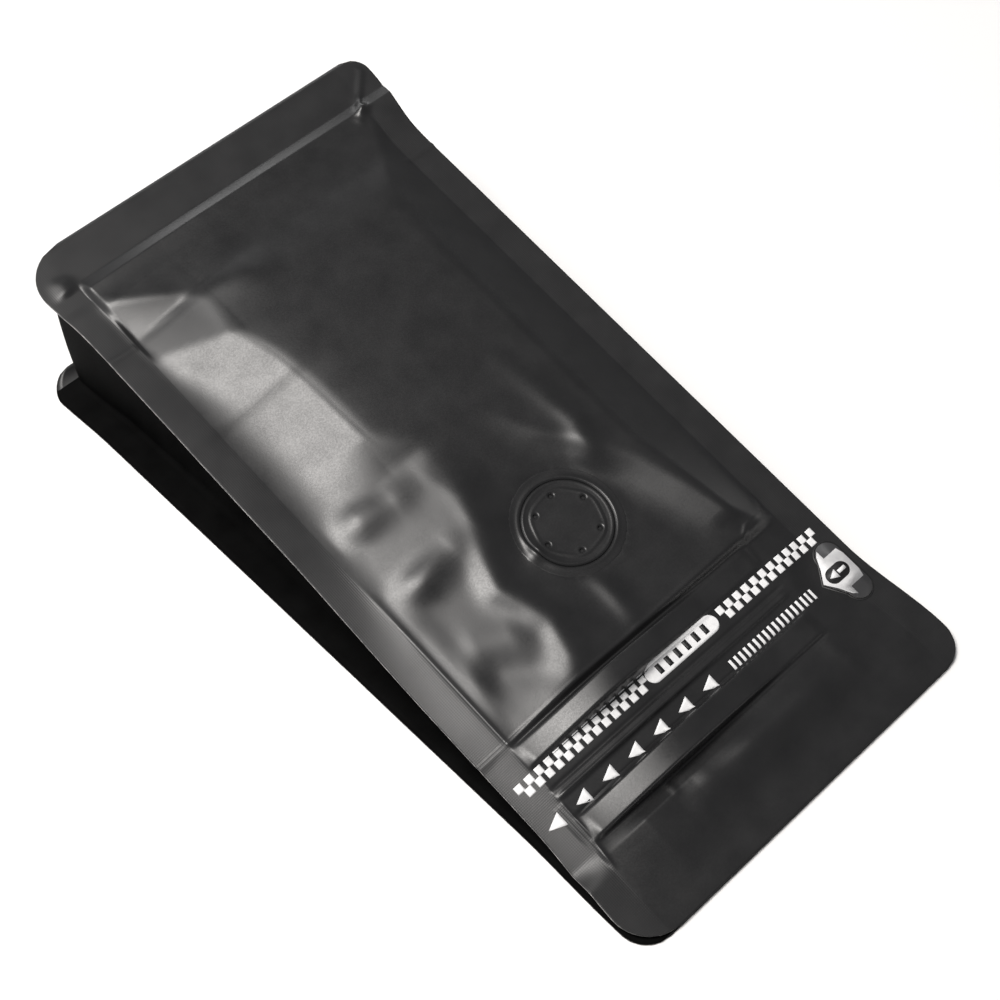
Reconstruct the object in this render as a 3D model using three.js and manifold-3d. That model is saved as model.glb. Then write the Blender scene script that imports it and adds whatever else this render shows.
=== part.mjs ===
// Flat-bottomed coffee pouch of matt film, empty and shut, lying on its back with the front panel up.
// Units are millimetres and +Z is up. +X runs across the pouch and +Y from its opening to its bottom end.
// The origin is on the floor, under the middle of the pouch.
// A place on a panel is (x, v): x across it, and v along it from its bottom edge towards the opening.

import * as THREE from 'three';
import { mergeVertices } from 'three/addons/utils/BufferGeometryUtils.js';
import Module from 'manifold-3d';

const { degToRad, lerp, smoothstep, clamp } = THREE.MathUtils;

// ---- driving dimensions ----
const HALF_WIDTH = 50;
const FRONT_LENGTH = 202;
const BACK_LENGTH = 204.7;
const WEDGE = degToRad(13.7);     // angle between the front panel and the floor
const LIP = 1.1;                  // front, back and gusset film pressed together at the opening
const SHEET = 0.5;                // film of a seal: two or three layers
const SIDE_SEAL = 7.5;            // width of the sealed fins along both sides
const BOTTOM_SEAL = 12.2;         // width of the sealed flanges round the bottom panel
const GUSSET_HALF = 22.8;         // free gusset film from a side seal to its fold

// Each side of the front panel: corner radii, and how far the filled-out panel pulls its edge in.
const LEFT = { sign: -1, bottomCorner: 11.5, topCorner: 10, waist: 1.3 };
const RIGHT = { sign: 1, bottomCorner: 5, topCorner: 7, waist: 2.8 };
const BACK_CORNER = 7;
const BACK_WAIST = 0.7;
const BOTTOM_FLARE = [4, 26];     // where the edges run out to full width again
const TOP_FLARE = [168, 195];

const CURL = { length: 6.3, height: 2.4, power: 2.4 };   // the back flange curls up at its end
const GUSSET = {
  foldStart: [12, 70],            // where the fold deepens, going up from the bottom seal
  foldEnd: [186, 198],            // where it closes at the opening
  bulge: 4.5,                     // film that bows out below the front seal
  bulgeV: 52,
  bulgeSpread: 26,
  flangeBow: 1.2,                 // of the flange between gusset and bottom panel
  flangeEnd: 0.5,
};
const VALVE = {
  x: 1.7,
  v: 125.1,
  level: 3.5,                     // of the panel's relief round it
  flat: [11, 15.4],               // distances over which the relief takes over from that level
  radius: 10.35,
  rim: 0.5,                       // heights over the film
  web: 0.2,
  depth: 0.5,                     // below it
  chamfer: 0.2,
  rimWidth: 0.9,
  rimSlope: 0.4,
  ring: { inner: 7.6, outer: 8.2, height: 0.15, slope: 0.1 },
};
const TAB = {
  x: 42.1, v: 171.7, flat: [7, 13], lobeV: 4.5, lobe: 3.1, tip: 6.1, base: 0.05, thickness: 0.35,
};
const ROUND_SEGMENTS = 64;
const LOBE_SEGMENTS = 14;
const CLEARANCE = 0.3;            // gap round a piece that sits in the film
const POCKET_HEIGHT = 6;
const CORE_DEPTH = 0.1;           // of the filled core under the front sheet's surface
const CORE_OVERLAP = 1.0;         // by which the front sheet reaches further into the core
const FILLED = { from: 14.2, to: 188, soft: 2 };         // where it does so, along the panel

// The filled-out front panel rises from its seals, sinks towards the zipper, and closes at the opening.
const PILLOW = {
  height: 6,
  sink: 0.45,
  sinking: [84, 126],
  pinch: 0.6,                     // the press zipper holds the panel flatter
  pinching: [149.5, 154.5],
  closing: [158, 198],
  bottomStart: 3,                 // distances from the bottom seal between which it rises,
  bottomEnd: [23, 32],            // sooner on the left of these x than on their right
  bottomTurn: [-24, 0],
  rightSlope: 0.42,
  hip: 1.2,                       // rounding where its slopes meet
  flankEdge: 0.5,                 // and at the edges of its left flank
  bottomEdge: 0.6,
};
const SEAL_EASE = 3;              // the relief takes over in this distance from a side seal
const FREE = { from: 15.2, to: 151, soft: 3 };           // folds stay between the bottom seal and the zipper

// Its left flank at places v along the panel: where it starts beside the seal, its slope, and its crest's x.
const FLANK = [
  { v: 14, start: 0, slope: 0.12, crest: -24 },
  { v: 20, start: 0, slope: 0.27, crest: -24 },
  { v: 33, start: 0, slope: 0.29, crest: -22 },
  { v: 44, start: 0.6, slope: 0.31, crest: -24 },
  { v: 50, start: 2.6, slope: 0.32, crest: -22 },
  { v: 56, start: 3.8, slope: 0.32, crest: -20.5 },
  { v: 64, start: 4.4, slope: 0.32, crest: -19.5 },
  { v: 75, start: 4.6, slope: 0.32, crest: -19 },
  { v: 84, start: 4.2, slope: 0.32, crest: -19 },
  { v: 98, start: 2, slope: 0.2, crest: -15 },
  { v: 107, start: 1, slope: 0.18, crest: -13 },
  { v: 114, start: 1, slope: 0.18, crest: -16 },
  { v: 121, start: 1, slope: 0.18, crest: -20 },
  { v: 127, start: 1, slope: 0.18, crest: -22 },
  { v: 133, start: 1, slope: 0.18, crest: -20.5 },
  { v: 141, start: 1, slope: 0.18, crest: -17.5 },
  { v: 152, start: 1, slope: 0.17, crest: -20 },
  { v: 170, start: 1, slope: 0.15, crest: -24 },
];
const FLANK_SHEAR = { share: 0.4, x: [-36, -20], v: [86, 104], soft: 10 };

// The film is tucked in along a line across the left flank: it sinks to there, and rises again beyond.
const TUCK = {
  line: [31.3, -0.08],            // these grow with the distance from the left seal
  depth: [0.85, 0.065],
  rise: [5.9, 0.53],
  sink: 10,
  reach: 20,
  end: [-30, 8],
};

// The left fin hangs down beside the zipper.
const FIN_DROP = { rise: [100, 136], fall: [180, 186], slope: 0.3, curve: 0.007 };

// The film steps up from the bottom flange, at heights that change across the panel: [x, height].
const FOOT = {
  rise: [11.2, 13.3],
  fall: [14, 26],
  heights: [[-42, 0], [-36, 0.7], [-10, 0.8], [10, 0.7], [38, 0.4]],
};

// Ridges (+) and dents (-) between the seals, each through places [x, v, height].
const FOLDS = [
  { width: 4.0, path: [[-40, 96, 0], [-32, 96, 1.0], [-24, 97, 0.5], [-16, 97, 0]] },
  { width: 3.6, path: [[-40.5, 115, 0], [-31, 114.8, 1.3], [-22, 113.8, 0.6], [-15, 112, 0]] },
  { width: 4.0, path: [[-40, 134.5, 0], [-32, 135.5, 1.0], [-27, 138, 0.9], [-22, 145, 0.6], [-20, 151, 0]] },
  {
    width: 2.2,
    path: [[-20, 153, 0.4], [-17.5, 141, 0.6], [-22.4, 127.5, 0.6], [-16.5, 114.5, 0.4], [-12, 98, 0]],
  },
  { width: 2.6, path: [[-3, 153, 0.5], [-2.4, 143, 0.7], [-3.2, 134, 0.3]] },
  {
    width: 8.5,
    path: [[34, 147, 0.8], [29, 130, 2.3], [25, 114, 2.4], [20.5, 98, 2.2], [19.5, 84, 1.6], [18, 62, 0]],
  },
];
const HEADER_FOLD = {             // runs on beyond the zipper
  width: 4.0, path: [[-21, 183.4, 0], [-2, 185.6, 2.0], [12, 186, 1.2], [30, 186, 0]],
};

// The press zipper under the film and the tear strip beside it show as bands across the panel, which swell
// towards the left seal.
const ZIPPER_ENDS = { from: -40.5, to: 27.5, soft: 1.5 };
const SWELL = { rise: [-42, -27], fall: [-28, 12] };
const BANDS = [
  { from: 153.8, to: 158.8, height: 0.5, swell: 2.4 },
  { from: 165.9, to: 167.8, height: 0.45, swell: 0.3 },
  { from: 173.4, to: 178.6, height: 0.5, swell: 2.1 },
];
const BAND_EDGE = 0.6;

// Grid of the front panel: columns across it between the side seals, and rows along it.
const FREE_COLUMNS = 30;
const SEAL_COLUMNS = 2;
const FRONT_ROWS = [
  0, 0.7, 2, 4, 6.5, 9.5, 11.2, 12.2, 13.3, 15, 18, 21, 25, 28.5, 30.5, 33, 37, 41, 46, 52, 58, 64, 70, 76,
  82, 88, 93, 98, 103, 108, 112, 116, 120, 124, 128, 132, 136, 140, 144, 148, 151, 153.4, 154.6, 158, 159.2,
  163, 166, 167.4, 168.8, 172, 173.2, 174.4, 177.6, 178.8, 182, 186, 190, 193.5, 196.5, 199, 201, 202,
];
const BACK_COLUMNS = 10;
const BACK_ROWS = [
  0, 0.6, 1.5, 2.7, 4.2, 6.3, 9, 15, 26, 50, 80, 110, 140, 168, 182, 190, 197.7, 199.5, 201.5, 203, 204.1,
  204.7,
];
const WALL_POINTS = 7;            // of a gusset, between its two seals
const FLANGE_ROWS = 3;
const FLANGE_OVERLAP = 1;         // by which a side flange runs on into the filled part
const MERGE_DISTANCE = 1e-5;

const wasm = await Module();
wasm.setup();

// ---- outline of the panels ----

function cornerInset(radius, distance) {
  const left = clamp(radius - distance, 0, radius);
  return radius - Math.sqrt(radius * radius - left * left);
}

function waistX(v, waist) {
  const flare = 1 - smoothstep(v, ...BOTTOM_FLARE) + smoothstep(v, ...TOP_FLARE);
  return HALF_WIDTH - waist * (1 - flare);
}

function edgeX(side, v, length, waist, bottomCorner, topCorner) {
  const inset = cornerInset(bottomCorner, v) + cornerInset(topCorner, length - v);
  return side.sign * (waistX(v, waist) - inset);
}

function frontEdge(side, v) {
  return edgeX(side, v, FRONT_LENGTH, side.waist, side.bottomCorner, side.topCorner);
}

function backEdge(side, v) {
  return edgeX(side, v, BACK_LENGTH, BACK_WAIST, BACK_CORNER, BACK_CORNER);
}

// Inner line of a side seal. It steps aside where a round corner comes further in than the seal.
function sealLine(side, v) {
  const reach = Math.min(Math.abs(frontEdge(side, v)), Math.abs(backEdge(side, v)));
  return side.sign * Math.min(waistX(v, side.waist) - SIDE_SEAL, reach - SHEET);
}

// 0 at the side seals, and 1 from a little way inside them.
function betweenSeals(x, v) {
  return smoothstep(x - sealLine(LEFT, v), 0, SEAL_EASE) * smoothstep(sealLine(RIGHT, v) - x, 0, SEAL_EASE);
}

// ---- relief of the front panel ----

function foldHeight(fold, x, v) {
  let nearest = Infinity;
  let height = 0;
  for (let i = 1; i < fold.path.length; i += 1) {
    const [x0, v0, from] = fold.path[i - 1];
    const [x1, v1, to] = fold.path[i];
    const squared = (x1 - x0) ** 2 + (v1 - v0) ** 2;
    const along = clamp(((x - x0) * (x1 - x0) + (v - v0) * (v1 - v0)) / squared, 0, 1);
    const distance = Math.hypot(x - lerp(x0, x1, along), v - lerp(v0, v1, along));
    if (distance < nearest) {
      nearest = distance;
      height = lerp(from, to, along);
    }
  }
  return height * Math.exp(-((nearest / fold.width) ** 2));
}

function plateau(value, low, high, soft) {
  return smoothstep(value, low - soft, low + soft) * (1 - smoothstep(value, high - soft, high + soft));
}

// The lower of two heights, with the corner between them rounded over soft.
function smoothMin(a, b, soft) {
  const blend = clamp(0.5 + (0.5 * (b - a)) / soft, 0, 1);
  return lerp(b, a, blend) - soft * blend * (1 - blend);
}

// The value at a place in a rising list of [place, value] pairs.
function valueAt(place, pairs) {
  const next = pairs.findIndex(([at]) => at > place);
  if (next < 1) {
    return pairs.at(next)[1];
  }
  const [[from, low], [to, high]] = [pairs[next - 1], pairs[next]];
  return lerp(low, high, (place - from) / (to - from));
}

function flankAt(v, key) {
  return valueAt(v, FLANK.map((row) => [row.v, row[key]]));
}

function pillow(x, v) {
  const [left, right] = [x - sealLine(LEFT, v), sealLine(RIGHT, v) - x];
  const pinched = 1 - PILLOW.pinch * smoothstep(v, ...PILLOW.pinching);
  const closing = pinched * (1 - smoothstep(v, ...PILLOW.closing));
  const top = PILLOW.height * (1 - PILLOW.sink * smoothstep(v, ...PILLOW.sinking)) * closing;
  const [shearFrom, shearTo] = FLANK_SHEAR.x;
  const shear = FLANK_SHEAR.share * (clamp(x, shearFrom, shearTo) - shearFrom);
  const slope = flankAt(v + shear * plateau(v, ...FLANK_SHEAR.v, FLANK_SHEAR.soft), 'slope');
  const start = flankAt(v, 'start');
  const crestDistance = flankAt(v, 'crest') + HALF_WIDTH - SIDE_SEAL - LEFT.waist - start;
  const flank = -smoothMin(-slope * (left - start) * closing, 0, PILLOW.flankEdge);
  const fromLeft = smoothMin(flank, flankAt(v, 'slope') * crestDistance * closing, PILLOW.flankEdge);
  const fromRight = smoothMin(PILLOW.rightSlope * right * closing, top, PILLOW.hip);
  const bottomEnd = lerp(...PILLOW.bottomEnd, smoothstep(x, ...PILLOW.bottomTurn));
  const fromBottom = PILLOW.height * smoothstep(v - BOTTOM_SEAL, PILLOW.bottomStart, bottomEnd) * closing;
  const sides = smoothMin(fromLeft, fromRight, PILLOW.hip);
  return Math.max(smoothMin(sides, fromBottom, PILLOW.bottomEdge), 0);
}

function tuckDepth(x, v) {
  const left = clamp(x - sealLine(LEFT, v), 0, TUCK.reach);
  const [line, depth, rise] = [TUCK.line, TUCK.depth, TUCK.rise].map(([at, growth]) => at + growth * left);
  const beyond = v - line;
  const share = clamp(beyond / TUCK.sink + 1, 0, 1) * clamp(1 - beyond / rise, 0, 1);
  return depth * share * smoothstep(left, 0, SEAL_EASE) * (1 - smoothstep(x, ...TUCK.end));
}

function finDrop(x, v) {
  const outward = Math.max(sealLine(LEFT, v) - x, 0);
  const share = smoothstep(v, ...FIN_DROP.rise) * (1 - smoothstep(v, ...FIN_DROP.fall));
  return (outward * FIN_DROP.slope - FIN_DROP.curve * outward ** 2) * share;
}

function footHeight(x, v) {
  return valueAt(x, FOOT.heights) * smoothstep(v, ...FOOT.rise) * (1 - smoothstep(v, ...FOOT.fall));
}

function relief(x, v) {
  const free = betweenSeals(x, v) * plateau(v, FREE.from, FREE.to, FREE.soft);
  let height = pillow(x, v) - tuckDepth(x, v) - finDrop(x, v) + footHeight(x, v);
  for (const fold of FOLDS) {
    height += foldHeight(fold, x, v) * free;
  }
  height = lerp(VALVE.level, height, smoothstep(Math.hypot(x - VALVE.x, v - VALVE.v), ...VALVE.flat));
  height *= smoothstep(Math.hypot(x - TAB.x, v - TAB.v), ...TAB.flat);
  const zipper = plateau(x, ZIPPER_ENDS.from, ZIPPER_ENDS.to, ZIPPER_ENDS.soft);
  const swell = smoothstep(x, ...SWELL.rise) * (1 - smoothstep(x, ...SWELL.fall));
  for (const band of BANDS) {
    height += (band.height * zipper + band.swell * swell) * plateau(v, band.from, band.to, BAND_EDGE);
  }
  return height + foldHeight(HEADER_FOLD, x, v);
}

// ---- places on the two panels ----

function frontPoint(x, v, depth) {
  const distance = FRONT_LENGTH - v;
  const lift = relief(x, v) - depth;
  const y = -BACK_LENGTH / 2 + distance * Math.cos(WEDGE) - lift * Math.sin(WEDGE);
  const z = LIP + distance * Math.sin(WEDGE) + lift * Math.cos(WEDGE);
  return new THREE.Vector3(x, y, z);
}

function backPoint(x, v, height) {
  const curled = clamp(1 - v / CURL.length, 0, 1) ** CURL.power;
  return new THREE.Vector3(x, BACK_LENGTH / 2 - v, height + CURL.height * curled);
}

// ---- closed meshes from loops of points ----

function signedVolume(points, triangles) {
  return triangles.reduce((sum, [a, b, c]) => sum + points[a].dot(points[b].clone().cross(points[c])), 0) / 6;
}

// Skins a stack of equally long loops and closes both ends. A cap lists triangles of the first loop,
// in which the index past its last point stands for the loop's centre.
function skin(loops, cap) {
  const size = loops[0].length;
  const points = loops.flat();
  const last = points.length - size;
  const triangles = [];
  for (let start = 0; start < last; start += size) {
    for (let i = 0; i < size; i += 1) {
      const [a, b] = [start + i, start + ((i + 1) % size)];
      triangles.push([a, b, b + size], [a, b + size, a + size]);
    }
  }
  const centres = [0, last].map((start) => {
    const loop = points.slice(start, start + size);
    return loop.reduce((sum, point) => sum.add(point), new THREE.Vector3()).divideScalar(size);
  });
  for (const [a, b, c] of cap) {
    const at = (start, centre) => [a, b, c].map((i) => (i === size ? centre : start + i));
    triangles.push(at(0, last + size).reverse(), at(last, last + size + 1));
  }
  points.push(...centres);
  if (signedVolume(points, triangles) < 0) {
    triangles.forEach((triangle) => triangle.reverse());
  }
  const geometry = new THREE.BufferGeometry();
  geometry.setAttribute('position', new THREE.Float32BufferAttribute(points.flatMap((p) => p.toArray()), 3));
  geometry.setIndex(triangles.flat());
  return geometry;
}

function fanCap(size) {
  return Array.from({ length: size }, (_, i) => [i, (i + 1) % size, size]);
}

// Cap of a loop whose first half lies over its second half.
function stripCap(size) {
  return Array.from({ length: size / 2 - 1 }, (_, i) => [
    [i, i + 1, size - 2 - i],
    [i, size - 2 - i, size - 1 - i],
  ]).flat();
}

// Closes two grids of points, one over the other, into a plate.
function plate(upper, lower) {
  const loops = upper.map((row, i) => [...row, ...lower[i].toReversed()]);
  return skin(loops, stripCap(loops[0].length));
}

function spread(from, to, cells) {
  return Array.from({ length: cells + 1 }, (_, i) => lerp(from, to, i / cells));
}

// ---- manifold solids ----

function solidOf(geometry) {
  const bare = geometry.clone();
  bare.deleteAttribute('normal');
  bare.deleteAttribute('uv');
  const merged = mergeVertices(bare, MERGE_DISTANCE);
  const mesh = new wasm.Mesh({
    numProp: 3,
    vertProperties: Float32Array.from(merged.attributes.position.array),
    triVerts: Uint32Array.from(merged.index.array),
  });
  return new wasm.Manifold(mesh);
}

function geometryOf(solid) {
  const { vertProperties, triVerts } = solid.getMesh();
  const geometry = new THREE.BufferGeometry();
  geometry.setAttribute('position', new THREE.BufferAttribute(vertProperties, 3));
  geometry.setIndex(new THREE.BufferAttribute(triVerts, 1));
  return geometry;
}

// ---- film of the pouch ----

function backV(v) {
  return BACK_LENGTH - FRONT_LENGTH + v;
}

function frontColumns(v) {
  const [left, right] = [sealLine(LEFT, v), sealLine(RIGHT, v)];
  return [
    ...spread(frontEdge(LEFT, v), left, SEAL_COLUMNS),
    ...spread(left, right, FREE_COLUMNS).slice(1, -1),
    ...spread(right, frontEdge(RIGHT, v), SEAL_COLUMNS),
  ];
}

// Depth of the front sheet's underside, which reaches further into the core between the seals.
function undersideDepth(x, v) {
  const filled = plateau(v, FILLED.from, FILLED.to, FILLED.soft);
  return SHEET + CORE_OVERLAP * betweenSeals(x, v) * filled;
}

function frontSheet() {
  const grid = (depth) => FRONT_ROWS.map((v) => frontColumns(v).map((x) => frontPoint(x, v, depth(x, v))));
  return plate(grid(() => 0), grid(undersideDepth));
}

function backSheet() {
  const grid = (height) => BACK_ROWS.map((v) => (
    spread(backEdge(LEFT, v), backEdge(RIGHT, v), BACK_COLUMNS).map((x) => backPoint(x, v, height))
  ));
  return plate(grid(SHEET), grid(0));
}

// The gusset between two seals: it folds inwards, and bulges out a little below the front seal.
function gussetWall(side, v) {
  const x = sealLine(side, v);
  const top = frontPoint(x, v, SHEET / 2);
  const foot = backPoint(x, backV(v), SHEET / 2);
  const reach = Math.sqrt(Math.max(GUSSET_HALF ** 2 - ((top.z - foot.z) / 2) ** 2, 0));
  const depth = reach * smoothstep(v, ...GUSSET.foldStart) * (1 - smoothstep(v, ...GUSSET.foldEnd));
  const bulge = GUSSET.bulge * Math.exp(-(((v - GUSSET.bulgeV) / GUSSET.bulgeSpread) ** 2));
  return spread(0, 1, WALL_POINTS + 1).slice(1, -1).map((along) => {
    const inward = depth * (1 - Math.abs(2 * along - 1));
    const outward = bulge * Math.max(Math.sin(2 * Math.PI * along), 0);
    const point = top.clone().lerp(foot, along);
    point.x += side.sign * (outward - inward);
    return point;
  });
}

function pouchCore() {
  const loops = FRONT_ROWS.filter((v) => v >= BOTTOM_SEAL && v < FRONT_LENGTH).map((v) => {
    const [left, right] = [sealLine(LEFT, v), sealLine(RIGHT, v)];
    return [
      ...spread(left, right, FREE_COLUMNS).map((x) => frontPoint(x, v, CORE_DEPTH)),
      ...gussetWall(RIGHT, v),
      ...spread(right, left, BACK_COLUMNS).map((x) => backPoint(x, backV(v), SHEET / 2)),
      ...gussetWall(LEFT, v).toReversed(),
    ];
  });
  return skin(loops, fanCap(loops[0].length));
}

// Flange that joins the gusset to the bottom panel. Its free edge bows out between the two panels.
function sideFlange(side) {
  const grid = (offset) => spread(GUSSET.flangeEnd, BOTTOM_SEAL + FLANGE_OVERLAP, FLANGE_ROWS).map((v) => {
    const x = sealLine(side, v) + side.sign * offset;
    const top = frontPoint(x, v, SHEET / 2);
    const foot = backPoint(x, backV(v), SHEET / 2);
    return spread(0, 1, WALL_POINTS + 1).map((along) => {
      const point = top.clone().lerp(foot, along);
      point.x += side.sign * GUSSET.flangeBow * Math.sin(Math.PI * along) * (1 - v / BOTTOM_SEAL);
      return point;
    });
  });
  return plate(grid(0), grid(SHEET));
}

// ---- pieces set into the film ----

// Turns a geometry that stands on the XY plane to stand on the front panel at a place.
function onPanel(geometry, x, v) {
  return geometry.clone().rotateX(WEDGE).translate(...frontPoint(x, v, 0));
}

function valveGeometry() {
  const { radius, rim, web, depth, chamfer, rimWidth, rimSlope, ring } = VALVE;
  const profile = [
    [0, -depth], [radius, -depth], [radius, rim - chamfer], [radius - chamfer, rim], [radius - rimWidth, rim],
    [radius - rimWidth - rimSlope, web], [ring.outer, web], [ring.outer - ring.slope, web + ring.height],
    [ring.inner + ring.slope, web + ring.height], [ring.inner, web], [0, web],
  ];
  const points = profile.map(([r, h]) => new THREE.Vector2(r, h));
  return new THREE.LatheGeometry(points, ROUND_SEGMENTS).rotateX(Math.PI / 2);
}

// The tab's outline: two round lobes with a tip between them, grown by offset.
function tabGeometry(offset, height) {
  const shape = new THREE.Shape();
  shape.absarc(0, -TAB.lobeV, TAB.lobe + offset, Math.PI, 2 * Math.PI, false);
  shape.absarc(0, TAB.lobeV, TAB.lobe + offset, 0, Math.PI, false);
  shape.lineTo(-TAB.tip - offset, 0);
  shape.closePath();
  return new THREE.ExtrudeGeometry(shape, { depth: height, bevelEnabled: false, curveSegments: LOBE_SEGMENTS });
}

function pouchGeometry() {
  const pocketRadius = VALVE.radius + CLEARANCE;
  const valvePocket = new THREE.CylinderGeometry(pocketRadius, pocketRadius, POCKET_HEIGHT, ROUND_SEGMENTS);
  valvePocket.rotateX(Math.PI / 2).translate(0, 0, POCKET_HEIGHT / 2 - VALVE.depth - CLEARANCE);
  const tabPocket = tabGeometry(CLEARANCE, POCKET_HEIGHT).translate(0, 0, TAB.base - CLEARANCE);
  return geometryOf(
    [backSheet(), pouchCore(), sideFlange(LEFT), sideFlange(RIGHT)]
      .reduce((solid, geometry) => solid.add(solidOf(geometry)), solidOf(frontSheet()))
      .subtract(solidOf(onPanel(valvePocket, VALVE.x, VALVE.v)))
      .subtract(solidOf(onPanel(tabPocket, TAB.x, TAB.v))),
  );
}

// ---- materials and the finished group ----

const mattFilm = new THREE.MeshStandardMaterial({ color: 0x29292b, roughness: 0.42, metalness: 0 });
const valvePlastic = new THREE.MeshStandardMaterial({ color: 0x262627, roughness: 0.5, metalness: 0 });
const tabFilm = new THREE.MeshStandardMaterial({ color: 0xe4e4e4, roughness: 0.45, metalness: 0 });

function named(name, geometry, material) {
  const mesh = new THREE.Mesh(geometry, material);
  mesh.name = name;
  return mesh;
}

const pouch = new THREE.Group();
pouch.add(
  named('pouch', pouchGeometry(), mattFilm),
  named('valve', onPanel(valveGeometry(), VALVE.x, VALVE.v), valvePlastic),
  named('pull_tab', onPanel(tabGeometry(0, TAB.thickness).translate(0, 0, TAB.base), TAB.x, TAB.v), tabFilm),
);

export default pouch;
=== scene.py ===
"""Looks of a matt black coffee pouch that lies on its back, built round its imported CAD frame.

A place on a panel is (x, v) in millimetres: x across it, and v along it from its bottom edge towards the
opening. The shape functions work on arrays of such places, and only a finished mesh is in metres.
"""

import math

import bpy
import numpy as np
from mathutils import Euler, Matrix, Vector


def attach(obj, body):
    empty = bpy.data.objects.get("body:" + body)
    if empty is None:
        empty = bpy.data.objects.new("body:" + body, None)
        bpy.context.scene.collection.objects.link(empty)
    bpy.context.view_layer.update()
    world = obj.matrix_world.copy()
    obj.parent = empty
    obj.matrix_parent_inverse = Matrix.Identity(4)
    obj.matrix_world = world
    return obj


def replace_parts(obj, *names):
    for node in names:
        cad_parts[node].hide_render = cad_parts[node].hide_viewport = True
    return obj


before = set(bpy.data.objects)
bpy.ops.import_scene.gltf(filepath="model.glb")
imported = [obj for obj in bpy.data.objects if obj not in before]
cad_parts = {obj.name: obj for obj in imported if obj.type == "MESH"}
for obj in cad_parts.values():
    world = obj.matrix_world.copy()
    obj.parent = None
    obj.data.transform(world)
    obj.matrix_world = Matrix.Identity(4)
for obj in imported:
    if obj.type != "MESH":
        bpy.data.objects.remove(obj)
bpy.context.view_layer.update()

MM = 0.001

# ---- the pouch's driving dimensions, as in the CAD source (mm) ----
HALF_WIDTH = 50
FRONT_LENGTH = 202
BACK_LENGTH = 204.7
WEDGE = math.radians(13.7)
LIP = 1.1
SIDE_SEAL = 7.5
BOTTOM_SEAL = 12.2
SEAL_MARGIN = 0.5                 # least width of a fin where the corners are round
GUSSET_HALF = 22.8
FILM = 0.3                        # thickness of a panel's film
GUSSET_FILM = 0.22
GUSSET_DEPTH = 0.44               # of the gusset film's middle under the panel's surface

LEFT = {"sign": -1, "bottom_corner": 11.5, "top_corner": 10, "waist": 1.3}
RIGHT = {"sign": 1, "bottom_corner": 5, "top_corner": 7, "waist": 2.8}
BACK_CORNER = 7
BACK_WAIST = 0.7
BOTTOM_FLARE = (4, 26)
TOP_FLARE = (168, 195)
CURL = {"length": 6.3, "height": 2.4, "power": 2.4}

# ---- relief of the front panel, in numbers ----

# The filled-out panel rises from the seals, sinks towards the zipper, and closes at the opening. Its edges
# are rounded over hip, flank_edge and bottom_edge, and the foot of the left flank the more the further it
# starts from its seal.
PILLOW = {"height": 6.0, "sink": 0.45, "sinking": (84, 126), "pinch": 0.6, "pinching": (151.6, 154.2),
          "closing": (158, 198), "hip": 1.2, "flank_edge": 0.5, "soft_foot": 0.5, "bottom_edge": 0.6}
BOTTOM_SLOPE = {"start": 3, "end": (23, 32), "turn": (-24, 0)}    # steeper beside the left flank
RIGHT_SLOPE = {"v": (120, 145), "slope": (0.45, 0.62)}            # steeper beside the zipper
LEFT_LEVEL = {"turn": (-15, -3), "raise": 0.2, "delay": 8}        # the left part sinks less, and later
DOME = {"height": 1.1, "reach": 8, "v": (46, 96), "ease": 12}     # the middle is slightly domed
# The left flank is a plane slope up to a crest line, with its foot, slope and crest at places v.
PILLOW_LEFT = {
    "v": (14, 20, 33, 44, 50, 56, 64, 75, 84, 98, 107, 114, 121, 127, 133, 141, 152, 170),
    "start": (0, 0, 0, 1.6, 3.6, 4.7, 5.3, 5.5, 4.8, 2, 1, 1, 1, 1, 1, 1, 1, 1),
    "slope": (0.12, 0.27, 0.29, 0.31, 0.32, 0.32, 0.32, 0.32, 0.32, 0.21, 0.2, 0.19, 0.18, 0.18, 0.18,
              0.2, 0.24, 0.2),
    "crest": (-24, -24, -22, -24, -22, -20.5, -19.5, -19, -18.5, -13.5, -12, -14, -17.5, -19, -17.7,
              -16.8, -19.5, -23),
}
# A ramp that rises to the right, up to the right flank, from places x along the panel.
RAMP = {
    "v": (60, 76, 88, 98, 106, 112, 118, 124, 130, 146, 152),
    "start": (6, 4.5, 4, 4.5, 6.5, 10, 13, 16, 18, 23, 26),
    "slope": (0, 0.24, 0.3, 0.325, 0.345, 0.355, 0.365, 0.365, 0.355, 0.345, 0),
}
# Round these places v the left flank changes along lines that lean.
FLANK_SHEAR = {"share": 0.4, "x": (-36, -20), "v": (86, 104), "ease": 10}

# The film is tucked in along a line across the left flank: it sinks towards the line, drops along it, and
# rises again beyond. The line, its depth and the rise change with the distance from the seal.
TUCK = {"line": (31.3, -0.08), "depth": (0.7, 0.085), "rise": (5.9, 0.53), "sink": 10, "reach": 20,
        "ease": 0.8, "end": (-28, -10)}

# The left fin hangs down beside the zipper, and curls up a little further down, between low and rise.
FIN_DROP = {"rise": (88, 138), "fall": (180, 186), "slope": 0.36, "curve": 0.013,
            "raised": 0.22, "low": (14, 34)}

# The film steps up from the bottom flange, and again to the header beyond the tear strip, at heights that
# change across the panel.
FOOT = {"rise": (11.2, 14.4), "fall": (14.6, 30), "x": (-41.6, -40.2, -10, 10, 38),
        "height": (0, 1.15, 1.95, 1.8, 1.3)}
HEADER = {"rise": (180.2, 182.4), "fall": (183, 198), "x": (-43, -31, -24, -18, 2),
          "height": (0, 1.3, 1.2, 0.6, 0)}

SEAL_EASE = 3                     # folds take over in this distance from a side seal
FREE = {"v": (15.2, 151), "ease": 3}    # and stay between the bottom seal and the zipper

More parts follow.
